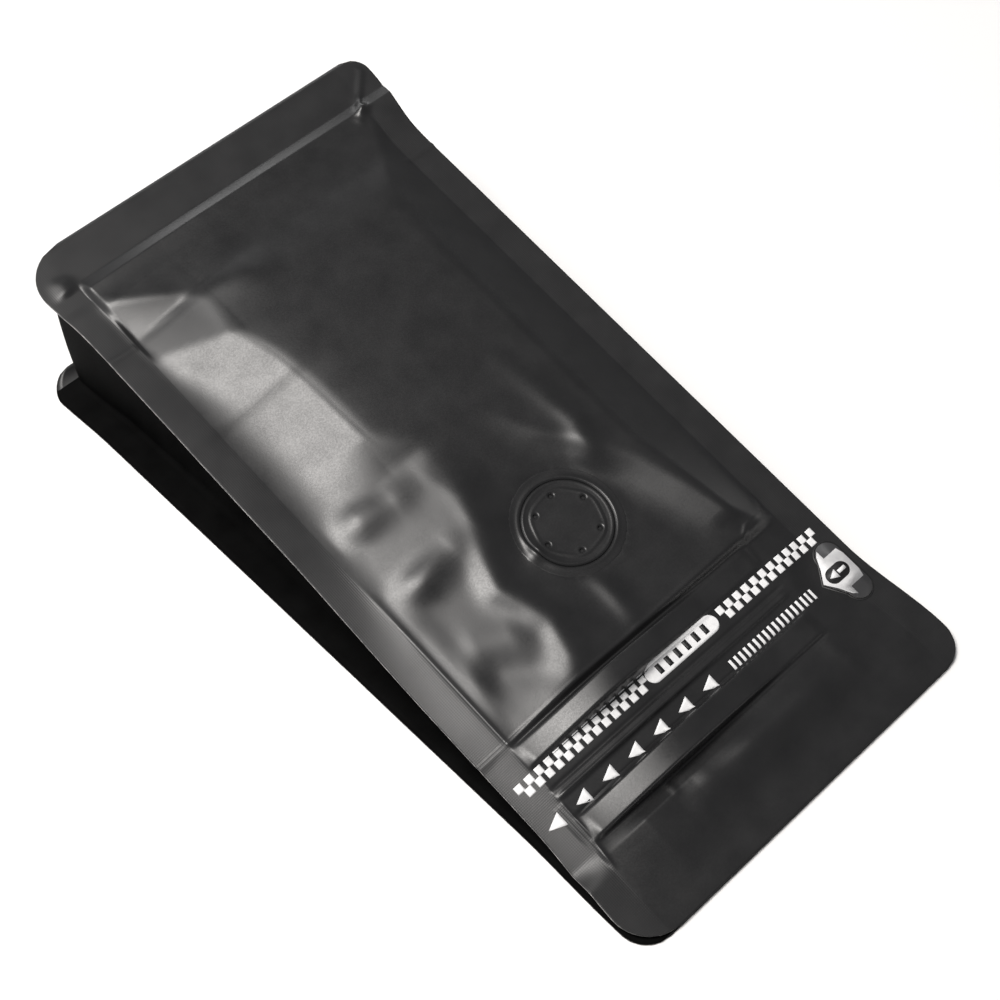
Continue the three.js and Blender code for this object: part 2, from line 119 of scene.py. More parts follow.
# Ridges (+) and dents (-) of the front panel, each through places (x, v) with a height at each.
FOLDS = [
    {"width": 4.0, "path": [(-40, 96, 0), (-32, 96, 1.0), (-24, 97, 0.5), (-16, 97, 0)]},
    {"width": 3.6, "path": [(-40.5, 115, 0), (-31, 114.8, 1.1), (-22, 113.8, 0.5), (-15, 112, 0)]},
    {"width": 4.4, "path": [(-38, 132.5, 0), (-32, 133.4, 0.42), (-26, 136, 0.4), (-21, 143, 0)]},
    {"width": 4.2, "path": [(-38, 139.8, 0), (-32, 140.8, -0.4), (-27, 144.6, -0.45), (-23, 150, -0.1)]},
    {"width": 2.6, "path": [(-37.4, 150, 0), (-37.4, 139, 0.35), (-37.4, 132, 0.3), (-37.4, 122, 0.15),
                            (-37.4, 112, 0)]},
    {"width": 3.4, "path": [(-20.3, 153, 0.8), (-18.3, 146, 0.9), (-16.6, 139.5, 1.0), (-18.2, 133, 0.9),
                            (-20.4, 127, 0.9), (-18.3, 121, 0.8), (-14.8, 114.5, 0.6), (-12, 107, 0.4),
                            (-11, 98, 0)]},
    {"width": 2.6, "path": [(-3, 153, 0.5), (-2.4, 143, 0.7), (-3.2, 134, 0.3)]},
    {"width": 3.0, "path": [(12.5, 122, 0.1), (16.5, 115.5, 0.8), (19.2, 109, 0.8), (18.2, 101, 0.5),
                            (16.5, 90, 0.2), (15.5, 80, 0)]},
]

# Narrow ridges and dents, which may also cross the seals.
CREASES = [
    {"width": 2.2, "path": [(-44.4, 13.4, 0), (-44.6, 11.4, 0.65), (-44.2, 9.4, 0.55), (-43.4, 7.4, 0)]},
    {"width": 0.35, "path": [(-41, 31.5, 0.05), (-32, 30.9, 0.07), (-24.5, 30.2, 0.04)]},
    {"width": 1.4, "path": [(37.5, 16.2, 0.3), (40, 14, 1.4), (41.2, 11.8, 0.3)]},
    {"width": 0.6, "path": [(40.2, 12.6, 0.5), (47.8, 4.9, 0.35)]},
    {"width": 0.5, "path": [(-49.2, 32.2, 0.25), (-42, 32.3, 0.3), (-41, 32.2, 0)]},
    {"width": 0.5, "path": [(39, 31.6, 0.2), (47.4, 31.8, 0.3)]},
    {"width": 0.5, "path": [(28.4, 158, 0.15), (28.9, 152.5, 0.28), (31, 150.8, 0.3), (37, 150.2, 0.3),
                            (39.2, 147.5, 0.25), (39.4, 143, 0)]},
    {"width": 0.9, "path": [(-22.1, 179.4, 0.1), (-22.1, 181, 0.25), (-22.6, 184, 0)]},
    {"width": 4.6, "path": [(-24, 184.6, 0), (-14, 185.6, 1.7), (-2, 186, 2.8), (12, 186, 2.4),
                            (34, 186, 0)]},
    {"width": 2.2, "path": [(26.5, 179, 0.15), (27.5, 186, 0.4), (28.2, 192, 0)]},
    {"width": 1.8, "path": [(-8.2, 126, 0.6), (-13.5, 127, 0)]},
    {"width": 1.3, "path": [(-8.6, 125, 0.4), (-8, 119, 0)]},
    {"width": 1.3, "path": [(-8.6, 127, 0.4), (-5.6, 133, 0)]},
    {"width": 0.45, "path": [(-41.2, 152, 0.12), (-41.1, 126, 0.1), (-41, 104, 0)]},
    {"width": 0.5, "path": [(-42.3, 186, 0), (-42.2, 182, 0.3), (-41.8, 178.5, 0.1)]},
    *({"width": 0.28, "path": [(x, 179, 0.02), (x, 175, 0.16), (x, 169, 0.1)]}
      for x in (-43.2, -42.3, -41.4)),
]

# The press zipper and the tear strip show as bands across the panel. Each stands out by its height, and
# towards its left end it swells and leans.
ZIPPER_ENDS = (-40.5, 27.5)
BANDS = [
    {"start": 153.7, "end": 159.5, "height": 0.5, "swell": 4.0, "lean": 1.0},
    {"start": 165.9, "end": 167.8, "height": 0.45, "swell": 0.3, "lean": 0.2},
    {"start": 172.7, "end": 179.0, "height": 0.5, "swell": 3.8, "lean": 1.1},
]
BAND_EASE = {"x": 1.5, "v": 0.6}
SWELL = {"rise": (-43, -15), "fall": (-16, 18)}      # places x between which the bands swell
LEAN = {"rise": (-42, -39), "fall": (-24, -4)}       # and between which they rise towards the opening
GROOVES = [                       # lines along the bands
    {"v": 153.4, "width": 0.45, "height": -0.3},
    {"v": 159.4, "width": 0.3, "height": -0.3},
    {"v": 165.4, "width": 0.4, "height": -0.3},
    {"v": 166.6, "width": 0.35, "height": -0.3},
    {"v": 167.5, "width": 0.4, "height": 0.25},
    {"v": 172.5, "width": 0.45, "height": -0.45},
    {"v": 179.2, "width": 0.5, "height": -0.5},
]

# The panel is flat round the valve and the tab, and blends into its relief between the two radii of flat.
VALVE = {"x": 1.7, "v": 125.1, "level": 3.5, "flat": (11, 15.4)}
TAB = {"x": 42.1, "v": 171.7, "lobe_v": 4.5, "lobe": 3.1, "tip": (-6.1, -0.4), "tip_growth": 1.3,
       "flat": (7, 13)}

# ---- camera and lights ----
LENS = 64.97
CAMERA_AT = (-152.7, -189.2, 339.9)
CAMERA_TURN = (35.82, 2.32, -43.40)
SOFTBOX = {"direction": (-0.28, 0.13, 0.95), "distance": 1.15, "size": (0.46, 0.46), "power": 13.5}
HALO = {"direction": (-0.42, 0.34, 0.84), "distance": 1.4, "size": (1.5, 1.5), "power": 6}
BACK = {"direction": (0.35, 0.9, 0.22), "distance": 1.2, "size": (1.2, 0.3), "power": 3}
WARM_WHITE = (1, 0.97, 0.94)
WORLD_GREY = (0.2, 0.2, 0.205, 1)
FLOOR = {"size": 6, "color": (0.86, 0.86, 0.86), "roughness": 0.8}


# ---- small helpers ----

def smoothstep(value, low, high):
    t = np.clip((value - low) / (high - low), 0, 1)
    return t * t * (3 - 2 * t)


def plateau(value, low, high, soft):
    return smoothstep(value, low - soft, low + soft) * (1 - smoothstep(value, high - soft, high + soft))


def lerp(a, b, t):
    return a + (b - a) * t


def smooth_min(a, b, soft):
    """The lower of two heights, with the corner between them rounded over soft."""
    blend = np.clip(0.5 + 0.5 * (b - a) / soft, 0, 1)
    return lerp(b, a, blend) - soft * blend * (1 - blend)


def smooth_max(a, b, soft):
    return -smooth_min(-a, -b, soft)


# ---- outline ----

def corner_inset(radius, distance):
    left = np.clip(radius - distance, 0, radius)
    return radius - np.sqrt(radius * radius - left * left)


def waist_x(v, waist):
    flare = 1 - smoothstep(v, *BOTTOM_FLARE) + smoothstep(v, *TOP_FLARE)
    return HALF_WIDTH - waist * (1 - flare)


def edge_x(side, v, length, waist, bottom_corner, top_corner):
    inset = corner_inset(bottom_corner, v) + corner_inset(top_corner, length - v)
    return side["sign"] * (waist_x(v, waist) - inset)


def front_edge(side, v):
    return edge_x(side, v, FRONT_LENGTH, side["waist"], side["bottom_corner"], side["top_corner"])


def back_edge(side, v):
    return edge_x(side, v, BACK_LENGTH, BACK_WAIST, BACK_CORNER, BACK_CORNER)


def seal_line(side, v):
    reach = np.minimum(abs(front_edge(side, v)), abs(back_edge(side, v)))
    return side["sign"] * np.minimum(waist_x(v, side["waist"]) - SIDE_SEAL, reach - SEAL_MARGIN)


# ---- relief of the front panel, as heights over its plane ----

def fold_height(fold, x, v):
    path = fold["path"]
    nearest = np.full(np.shape(x), np.inf)
    height = np.zeros(np.shape(x))
    for (x0, v0, h0), (x1, v1, h1) in zip(path, path[1:]):
        squared = (x1 - x0) ** 2 + (v1 - v0) ** 2
        along = np.clip(((x - x0) * (x1 - x0) + (v - v0) * (v1 - v0)) / squared, 0, 1)
        distance = np.hypot(x - lerp(x0, x1, along), v - lerp(v0, v1, along))
        closer = distance < nearest
        nearest = np.where(closer, distance, nearest)
        height = np.where(closer, lerp(h0, h1, smoothstep(along, 0, 1)), height)
    return height * np.exp(-((nearest / fold["width"]) ** 2))


def pillow(x, v):
    left = x - seal_line(LEFT, v)
    right = seal_line(RIGHT, v) - x
    shear = FLANK_SHEAR["share"] * (np.clip(x, *FLANK_SHEAR["x"]) - FLANK_SHEAR["x"][0])
    sheared = v + shear * plateau(v, *FLANK_SHEAR["v"], FLANK_SHEAR["ease"])
    start, crest, slope_there = (np.interp(v, PILLOW_LEFT["v"], PILLOW_LEFT[key])
                                 for key in ("start", "crest", "slope"))
    slope = np.interp(sheared, PILLOW_LEFT["v"], PILLOW_LEFT["slope"])
    closing = 1 - PILLOW["pinch"] * smoothstep(v, *PILLOW["pinching"])
    closing = closing * (1 - smoothstep(v, *PILLOW["closing"]))
    crest_height = slope_there * (crest + HALF_WIDTH - SIDE_SEAL - LEFT["waist"] - start) * closing
    foot_edge = PILLOW["flank_edge"] * (1 + PILLOW["soft_foot"] * start)
    flank = smooth_max(slope * (left - start) * closing, 0, foot_edge)
    held = 1 - smoothstep(x, *LEFT_LEVEL["turn"])
    sink = PILLOW["sink"] * (1 - LEFT_LEVEL["raise"] * held)
    sunk = sink * smoothstep(v - LEFT_LEVEL["delay"] * held, *PILLOW["sinking"])
    top = PILLOW["height"] * (1 - sunk) * closing
    domed = 1 - np.exp(-np.maximum(x - crest, 0) / DOME["reach"])
    dome = DOME["height"] * domed * plateau(v, *DOME["v"], DOME["ease"])
    ramp_start, ramp_slope = (np.interp(v, RAMP["v"], RAMP[key]) for key in ("start", "slope"))
    ramp = smooth_max(ramp_slope * (x - ramp_start), 0, PILLOW["hip"])
    bottom_end = lerp(*BOTTOM_SLOPE["end"], smoothstep(x, *BOTTOM_SLOPE["turn"]))
    from_bottom = PILLOW["height"] * smoothstep(v - BOTTOM_SEAL, BOTTOM_SLOPE["start"], bottom_end) * closing
    from_left = smooth_min(flank, crest_height + dome, PILLOW["flank_edge"])
    level = smooth_min(from_left, top + dome, PILLOW["hip"]) + ramp * closing
    right_slope = np.interp(v, RIGHT_SLOPE["v"], RIGHT_SLOPE["slope"])
    sides = smooth_min(level, right_slope * right * closing, PILLOW["hip"])
    return np.maximum(smooth_min(sides, from_bottom, PILLOW["bottom_edge"]), 0)


def tuck_depth(x, v):
    left = np.clip(x - seal_line(LEFT, v), 0, TUCK["reach"])
    line, depth, rise = (TUCK[key][0] + TUCK[key][1] * left for key in ("line", "depth", "rise"))
    beyond = v - line
    share = np.clip(beyond / TUCK["sink"] + 1, 0, 1) * np.clip(1 - beyond / rise, 0, 1)
    return depth * share * smoothstep(left, 0, TUCK["ease"]) * (1 - smoothstep(x, *TUCK["end"]))


def fin_drop(x, v):
    outward = np.maximum(seal_line(LEFT, v) - x, 0)
    raised = -FIN_DROP["raised"] * smoothstep(v, *FIN_DROP["low"])
    share = lerp(raised, 1, smoothstep(v, *FIN_DROP["rise"])) * (1 - smoothstep(v, *FIN_DROP["fall"]))
    return (outward * FIN_DROP["slope"] - FIN_DROP["curve"] * outward ** 2) * share


def step_height(step, x, v):
    height = np.interp(x, step["x"], step["height"])
    low, high = step["rise"]
    return height * np.clip((v - low) / (high - low), 0, 1) * (1 - smoothstep(v, *step["fall"]))


def relief(x, v):
    height = pillow(x, v) - tuck_depth(x, v) - fin_drop(x, v)
    height = height + step_height(FOOT, x, v) + step_height(HEADER, x, v)
    left, right = x - seal_line(LEFT, v), seal_line(RIGHT, v) - x
    free = smoothstep(left, 0, SEAL_EASE) * smoothstep(right, 0, SEAL_EASE)
    free = free * plateau(v, *FREE["v"], FREE["ease"])
    for fold in FOLDS:
        height = height + fold_height(fold, x, v) * free
    from_valve = np.hypot(x - VALVE["x"], v - VALVE["v"])
    height = lerp(VALVE["level"], height, smoothstep(from_valve, *VALVE["flat"]))
    height = height * smoothstep(np.hypot(x - TAB["x"], v - TAB["v"]), *TAB["flat"])
    zipper = plateau(x, *ZIPPER_ENDS, BAND_EASE["x"])
    swell = smoothstep(x, *SWELL["rise"]) * (1 - smoothstep(x, *SWELL["fall"]))
    lean = smoothstep(x, *LEAN["rise"]) * (1 - smoothstep(x, *LEAN["fall"]))
    for band in BANDS:
        along = np.clip((v - band["start"]) / (band["end"] - band["start"]), 0, 1) - 0.5
        rise = band["height"] * zipper + band["swell"] * swell + band["lean"] * lean * along
        height = height + rise * plateau(v, band["start"], band["end"], BAND_EASE["v"])
    for groove in GROOVES:
        height = height + groove["height"] * zipper * np.exp(-(((v - groove["v"]) / groove["width"]) ** 2))
    for crease in CREASES:
        height = height + fold_height(crease, x, v)
    return height


# ---- places in space (mm) ----

def front_point(x, v, lift=0.0):
    x, v = np.broadcast_arrays(np.asarray(x, float), np.asarray(v, float))
    distance = FRONT_LENGTH - v
    height = relief(x, v) + lift
    y = -BACK_LENGTH / 2 + distance * math.cos(WEDGE) - height * math.sin(WEDGE)
    z = LIP + distance * math.sin(WEDGE) + height * math.cos(WEDGE)
    return np.stack([x, y, z], -1)


def back_point(x, v, height=0.0):
    x, v = np.broadcast_arrays(np.asarray(x, float), np.asarray(v, float))
    curled = np.clip(1 - v / CURL["length"], 0, 1) ** CURL["power"]
    return np.stack([x, BACK_LENGTH / 2 - v, height + CURL["height"] * curled], -1)


def back_v(v):
    """The back panel's place v that lies under a place v of the front panel."""
    return BACK_LENGTH - FRONT_LENGTH + v


# ---- meshes ----

def rows_of(*stretches):
    """Places along a line: each stretch is its start and its number of steps, and the last only an end."""
    parts = [np.linspace(a, b, count, endpoint=False)
             for (a, count), (b, _) in zip(stretches, stretches[1:])]
    return np.concatenate([*parts, [stretches[-1][0]]])


def grid_faces(rows, columns, offset=0, flip=False):
    i = np.arange(rows * columns).reshape(rows, columns)[:-1, :-1].ravel() + offset
    order = (i, i + columns, i + columns + 1, i + 1) if flip else (i, i + 1, i + columns + 1, i + columns)
    return np.stack(order, -1).tolist()


def rim_of(rows, columns):
    index = np.arange(rows * columns).reshape(rows, columns)
    return np.concatenate([index[0, :-1], index[:-1, -1], index[-1, :0:-1], index[:0:-1, 0]])


def closed_plate(upper, lower, every=1):
    """The plate between two grids of points, and which of its faces are its cut edge.

    The lower grid keeps only every n-th row and column.
    """
    lower = lower[::every, ::every]
    count = upper.shape[0] * upper.shape[1]
    faces = grid_faces(*upper.shape[:2]) + grid_faces(*lower.shape[:2], count, flip=True)
    sides = len(faces)
    top = rim_of(*upper.shape[:2])
    foot = rim_of(*lower.shape[:2]) + count
    for i, corner in enumerate(foot):
        after = foot[(i + 1) % len(foot)]
        stretch = [top[(i * every + k) % len(top)] for k in range(every, -1, -1)]
        faces.append([*stretch, corner, after])
    points = np.concatenate([upper.reshape(-1, 3), lower.reshape(-1, 3)])
    return points, faces, range(sides, len(faces))


def thinned(grid, every=1):
    """A grid's values for both sides of the plate that closed_plate makes."""
    return np.concatenate([grid.reshape(-1), grid[::every, ::every].reshape(-1)])


PLACES_UNIT = 100                 # millimetres to one unit of the map of places


def make_piece(name, points, faces, material, places=None, seal=None, edge_faces=None):
    """A mesh that rides on the pouch, with places and seal, the (x, v) and sealed share of each point."""
    mesh = bpy.data.meshes.new(name)
    mesh.from_pydata((np.asarray(points) * MM).tolist(), [], faces)
    mesh.polygons.foreach_set("use_smooth", [True] * len(mesh.polygons))
    mesh.materials.append(material)
    if edge_faces:
        mesh.materials.append(CUT_EDGE)
        is_edge = np.zeros(len(mesh.polygons), int)
        is_edge[edge_faces] = 1
        mesh.polygons.foreach_set("material_index", is_edge)
        mesh.polygons.foreach_set("use_smooth", is_edge == 0)
    if places is not None:
        corners = np.empty(len(mesh.loops), int)
        mesh.loops.foreach_get("vertex_index", corners)
        flat = mesh.uv_layers.new(name="places")
        flat.data.foreach_set("uv", (np.asarray(places)[corners] / PLACES_UNIT).ravel())
    if seal is not None:
        sealed = mesh.attributes.new("seal", "FLOAT", "POINT")
        sealed.data.foreach_set("value", np.asarray(seal, float).ravel())
    mesh.update()
    piece = bpy.data.objects.new(name, mesh)
    bpy.context.scene.collection.objects.link(piece)
    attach(piece, "root")
    return piece


# ---- materials ----

def plain_material(name, color, roughness, specular=0.5, metallic=0.0):
    material = bpy.data.materials.new(name)
    material.use_nodes = True
    shader = material.node_tree.nodes["Principled BSDF"]
    shader.inputs["Base Color"].default_value = (*color, 1)
    shader.inputs["Roughness"].default_value = roughness
    shader.inputs["Specular IOR Level"].default_value = specular
    shader.inputs["Metallic"].default_value = metallic
    return material


class Nodes:
    """Short calls that add nodes to one material, and return the output socket of each."""

    def __init__(self, material):
        self.tree = material.node_tree
        self.shader = self.tree.nodes["Principled BSDF"]

    def link(self, source, socket):
        if hasattr(source, "links"):
            self.tree.links.new(source, socket)
        else:
            socket.default_value = source

    def math(self, operation, a, b=0.0, c=0.0):
        node = self.tree.nodes.new("ShaderNodeMath")
        node.operation = operation
        for socket, value in zip(node.inputs, (a, b, c)):
            self.link(value, socket)
        return node.outputs[0]

    def noise(self, scale, detail=2.0, stretch=(1, 1, 1)):
        position = self.tree.nodes.new("ShaderNodeTexCoord").outputs["Object"]
        mapping = self.tree.nodes.new("ShaderNodeMapping")
        mapping.inputs["Scale"].default_value = stretch
        self.link(position, mapping.inputs["Vector"])
        node = self.tree.nodes.new("ShaderNodeTexNoise")
        node.inputs["Scale"].default_value = scale
        node.inputs["Detail"].default_value = detail
        self.link(mapping.outputs[0], node.inputs["Vector"])
        return node.outputs["Fac"]

    def remap(self, value, low, high, from_low=0.3, from_high=0.7):
        node = self.tree.nodes.new("ShaderNodeMapRange")
        numbers = {"From Min": from_low, "From Max": from_high, "To Min": low, "To Max": high}
        for name, number in numbers.items():
            node.inputs[name].default_value = number
        self.link(value, node.inputs["Value"])
        return node.outputs[0]

    def mix_color(self, share, a, b):
        node = self.tree.nodes.new("ShaderNodeMix")
        node.data_type = "RGBA"
        self.link(share, node.inputs["Factor"])
        node.inputs["A"].default_value = (*a, 1)
        node.inputs["B"].default_value = (*b, 1)
        return node.outputs["Result"]

    def attribute(self, name):
        node = self.tree.nodes.new("ShaderNodeAttribute")
        node.attribute_name = name
        return node.outputs["Fac"]

    def bump(self, height, distance_mm, normal=None):
        node = self.tree.nodes.new("ShaderNodeBump")
        node.inputs["Distance"].default_value = distance_mm * MM
        self.link(height, node.inputs["Height"])
        if normal is not None:
            self.link(normal, node.inputs["Normal"])
        return node.outputs[0]


# Patterns of the film: noise scales are for metres, reliefs in mm, and roughness is added to the film's.
MOTTLE = {"scale": 150, "detail": 3, "relief": 0.015, "roughness": (-0.02, 0.03)}
GRAIN = {"scale": 2600, "detail": 1, "relief": 0.004, "roughness": (-0.03, 0.03)}
HATCH = {"pitch": 0.9, "relief": 0.008, "roughness": 0.05}      # pitch of its lines along x and along v


def film_material(name, dark, light, roughness, specular=0.5):
    """Matt laminate: a faint mottle, a fine grain, and the sealing jaws' crosshatch where it is sealed."""
    material = plain_material(name, dark, roughness, specular)
    n = Nodes(material)
    places = n.tree.nodes.new("ShaderNodeUVMap")
    places.uv_map = "places"
    split = n.tree.nodes.new("ShaderNodeSeparateXYZ")
    n.link(places.outputs[0], split.inputs[0])
    turns = 2 * math.pi * PLACES_UNIT / HATCH["pitch"]
    one = n.math("SINE", n.math("MULTIPLY", n.math("ADD", split.outputs[0], split.outputs[1]), turns))
    other = n.math("SINE", n.math("MULTIPLY", n.math("SUBTRACT", split.outputs[0], split.outputs[1]), turns))
    seal = n.attribute("seal")
    hatch = n.math("MULTIPLY", n.math("MULTIPLY", one, other), seal)
    mottle = n.noise(MOTTLE["scale"], MOTTLE["detail"])
    grain = n.noise(GRAIN["scale"], GRAIN["detail"])
    n.link(n.mix_color(n.remap(mottle, 0, 1), dark, light), n.shader.inputs["Base Color"])
    smoother, rougher = (roughness + change for change in MOTTLE["roughness"])
    hatched = n.math("MULTIPLY", seal, HATCH["roughness"])
    rough = n.math("ADD", n.remap(mottle, smoother, rougher), hatched)
    n.link(n.math("ADD", rough, n.remap(grain, *GRAIN["roughness"])), n.shader.inputs["Roughness"])
    waves = n.bump(mottle, MOTTLE["relief"])
    fine = n.bump(grain, GRAIN["relief"], waves)
    n.link(n.bump(hatch, HATCH["relief"], fine), n.shader.inputs["Normal"])
    return material


INK_SPECKS = {"scale": 900, "detail": 3}
INK_PATCHES = {"scale": 400, "roughness": (-0.04, 0.04)}


def ink_material(name, dark, light, roughness):
    """Printed ink, a little uneven where the film's grain shows through."""
    material = plain_material(name, dark, roughness)
    n = Nodes(material)
    specks = n.noise(INK_SPECKS["scale"], INK_SPECKS["detail"])
    n.link(n.mix_color(n.remap(specks, 0, 1), dark, light), n.shader.inputs["Base Color"])
    low, high = (roughness + change for change in INK_PATCHES["roughness"])
    n.link(n.remap(n.noise(INK_PATCHES["scale"]), low, high), n.shader.inputs["Roughness"])
    grain = n.noise(GRAIN["scale"], GRAIN["detail"])
    n.link(n.bump(grain, GRAIN["relief"]), n.shader.inputs["Normal"])
    return material


EDGE = {"dark": (0.08, 0.08, 0.08), "light": (0.6, 0.59, 0.57), "middle": (0.35, 0.34, 0.33),
        "metallic": 0.6, "flecks": (700, 3), "wear": 500, "roughness": (0.3, 0.5)}


def edge_material():
    """Cut edge of the laminate, where its bright foil layer shows between dark films."""
    middle = sum(EDGE["roughness"]) / 2
    material = plain_material("cut_edge", EDGE["middle"], middle, metallic=EDGE["metallic"])
    n = Nodes(material)
    flecks = n.remap(n.noise(*EDGE["flecks"]), 0, 1)
    n.link(n.mix_color(flecks, EDGE["dark"], EDGE["light"]), n.shader.inputs["Base Color"])
    n.link(n.remap(n.noise(EDGE["wear"]), *EDGE["roughness"]), n.shader.inputs["Roughness"])
    return material


FILM_BLACK = film_material("film_black", (0.0105, 0.0105, 0.011), (0.0135, 0.0135, 0.014), 0.34)
# Painted shade: the gussets and the bottom are the panels' film, painted far darker and with almost no
# specular, so that they stay black as in shade.
GUSSET_SHADED_BLACK = film_material("gusset_black_painted_shade", (0.002, 0.002, 0.002), (0.004, 0.004, 0.004), 0.72, 0.03)
CUT_EDGE = edge_material()
# The tab's film is a lighter grey than the panel's: partly its own thinner film, and partly painted light
# where its lobes tilt towards the lamps.
TAB_GREY_AND_SHEEN = film_material("tab_grey_and_painted_sheen", (0.05, 0.05, 0.052), (0.065, 0.065, 0.067), 0.34)
INK = ink_material("white_ink", (0.74, 0.74, 0.75), (0.84, 0.84, 0.84), 0.42)
# Dark print, which also paints the shade in the cut round the tab.
DARK_INK_AND_SHADE = ink_material("dark_ink_and_painted_shade", (0.006, 0.006, 0.007), (0.012, 0.012, 0.012), 0.5)


# ---- front and back panel ----

def panel_grid(rows, left, right, shares):
    x = lerp(left(rows)[:, None], right(rows)[:, None], shares[None, :])
    return x, np.broadcast_to(rows[:, None], x.shape)


SEALED = {"side_ease": (-0.5, 0.1), "bottom": 0.6, "bottom_ease": 0.6}


def sealed_share(x, v):
    """How far a place lies in a seal: the fins along both sides and the flange at the bottom."""
    left = 1 - smoothstep(x - seal_line(LEFT, v), *SEALED["side_ease"])
    right = 1 - smoothstep(seal_line(RIGHT, v) - x, *SEALED["side_ease"])
    bottom = SEALED["bottom"] * (1 - smoothstep(v, BOTTOM_SEAL - SEALED["bottom_ease"], BOTTOM_SEAL))
    return np.maximum(np.maximum(left, right), bottom)


# Stretches of a panel's grid along v and across it, closest where its relief is finest.
FRONT_ROWS = ((0, 12), (10.8, 18), (15.6, 12), (21, 21), (36, 84), (150, 99), (186, 24), (196, 15),
              (FRONT_LENGTH, 0))
FRONT_SHARES = ((0, 36), (0.08, 174), (0.86, 60), (1, 0))
BACK_ROWS = ((0, 18), (8, 60), (196, 18), (BACK_LENGTH, 0))
BACK_COLUMNS = 49
PANEL_EVERY = 3                   # the underside's grid is this much coarser
VALVE_WELL = {"depth": 0.5, "radius": (11.4, 12.4)}      # makes room for the valve's own pieces


def front_panel():
    rows, shares = rows_of(*FRONT_ROWS), rows_of(*FRONT_SHARES)
    x, v = panel_grid(rows, lambda r: front_edge(LEFT, r), lambda r: front_edge(RIGHT, r), shares)
    from_valve = np.hypot(x - VALVE["x"], v - VALVE["v"])
    sunk = -VALVE_WELL["depth"] * (1 - smoothstep(from_valve, *VALVE_WELL["radius"]))
    points, faces, edge = closed_plate(front_point(x, v, sunk), front_point(x, v, sunk - FILM), PANEL_EVERY)
    places = np.stack([thinned(x, PANEL_EVERY), thinned(v, PANEL_EVERY)], -1)
    seal = thinned(sealed_share(x, v), PANEL_EVERY)
    piece = make_piece("front_panel", points, faces, FILM_BLACK, places, seal, edge)
    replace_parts(piece, "pouch")


def back_panel():
    rows, shares = rows_of(*BACK_ROWS), np.linspace(0, 1, BACK_COLUMNS)
    x, v = panel_grid(rows, lambda r: back_edge(LEFT, r), lambda r: back_edge(RIGHT, r), shares)
    points, faces, edge = closed_plate(back_point(x, v, FILM), back_point(x, v))
    places = np.stack([thinned(x), thinned(v)], -1)
    seal = thinned(sealed_share(x, v))
    piece = make_piece("back_panel", points, faces, FILM_BLACK, places, seal, edge)
    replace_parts(piece, "pouch")


# ---- gussets and bottom ----

GUSSET = {"fold_start": (12, 70), "bulge": 4.5, "bulge_v": 52, "bulge_spread": 26, "flange_bow": 1.2}
GUSSET_ROWS = ((0.6, 12), (13, 30), (80, 40), (190, 8), (201.6, 0))
WALL_COLUMNS = 32
FIN_COLUMNS = 5
EDGE_INSET = 0.1                  # the gusset film ends this far inside the panels' edges
BOTTOM = {"inset": 0.3, "columns": 60, "rows": 30, "half": 42, "bow": 1.5}


def thin_strip(name, points, material, thickness, places, seal):
    faces = grid_faces(*points.shape[:2])
    piece = make_piece(name, points.reshape(-1, 3), faces, material, places, seal)
    shell = piece.modifiers.new("thickness", "SOLIDIFY")
    shell.thickness = thickness * MM
    shell.offset = 0
    return piece


def gusset(name, side):
    v = rows_of(*GUSSET_ROWS)
    seal = seal_line(side, v)
    top = front_point(seal, v, -GUSSET_DEPTH)
    foot = back_point(seal, back_v(v), GUSSET_DEPTH)
    half = (top[:, 2] - foot[:, 2]) / 2
    depth = np.sqrt(np.maximum(GUSSET_HALF ** 2 - half ** 2, 0)) * smoothstep(v, *GUSSET["fold_start"])
    bulge = GUSSET["bulge"] * np.exp(-(((v - GUSSET["bulge_v"]) / GUSSET["bulge_spread"]) ** 2))
    bow = GUSSET["flange_bow"] * np.clip(1 - v / BOTTOM_SEAL, 0, 1)
    along = np.linspace(0, 1, WALL_COLUMNS + 1)[None, :]
    wall = lerp(top[:, None, :], foot[:, None, :], along[..., None])
    fold = 1 - abs(2 * along - 1)
    shift = (bulge[:, None] * np.maximum(np.sin(2 * np.pi * along), 0) + bow[:, None] * np.sin(np.pi * along)
             - depth[:, None] * fold)
    wall[..., 0] += side["sign"] * shift
    shares = np.linspace(0, 1, FIN_COLUMNS, endpoint=False)[None, :]
    edge = front_edge(side, v) - side["sign"] * EDGE_INSET
    upper = front_point(lerp(edge[:, None], seal[:, None], shares), v[:, None], -GUSSET_DEPTH)
    edge = back_edge(side, back_v(v)) - side["sign"] * EDGE_INSET
    lower = back_point(lerp(edge[:, None], seal[:, None], shares), back_v(v)[:, None], GUSSET_DEPTH)
    points = np.concatenate([upper, wall, lower[:, ::-1]], 1)
    column = np.arange(points.shape[1])[None, :]
    seal = np.broadcast_to((column < FIN_COLUMNS) | (column > FIN_COLUMNS + WALL_COLUMNS), points.shape[:2])
    places = np.stack([points[..., 0] + points[..., 2], np.broadcast_to(v[:, None], seal.shape)], -1)
    piece = thin_strip(name, points, GUSSET_SHADED_BLACK, GUSSET_FILM, places.reshape(-1, 2), seal)
    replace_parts(piece, "pouch")


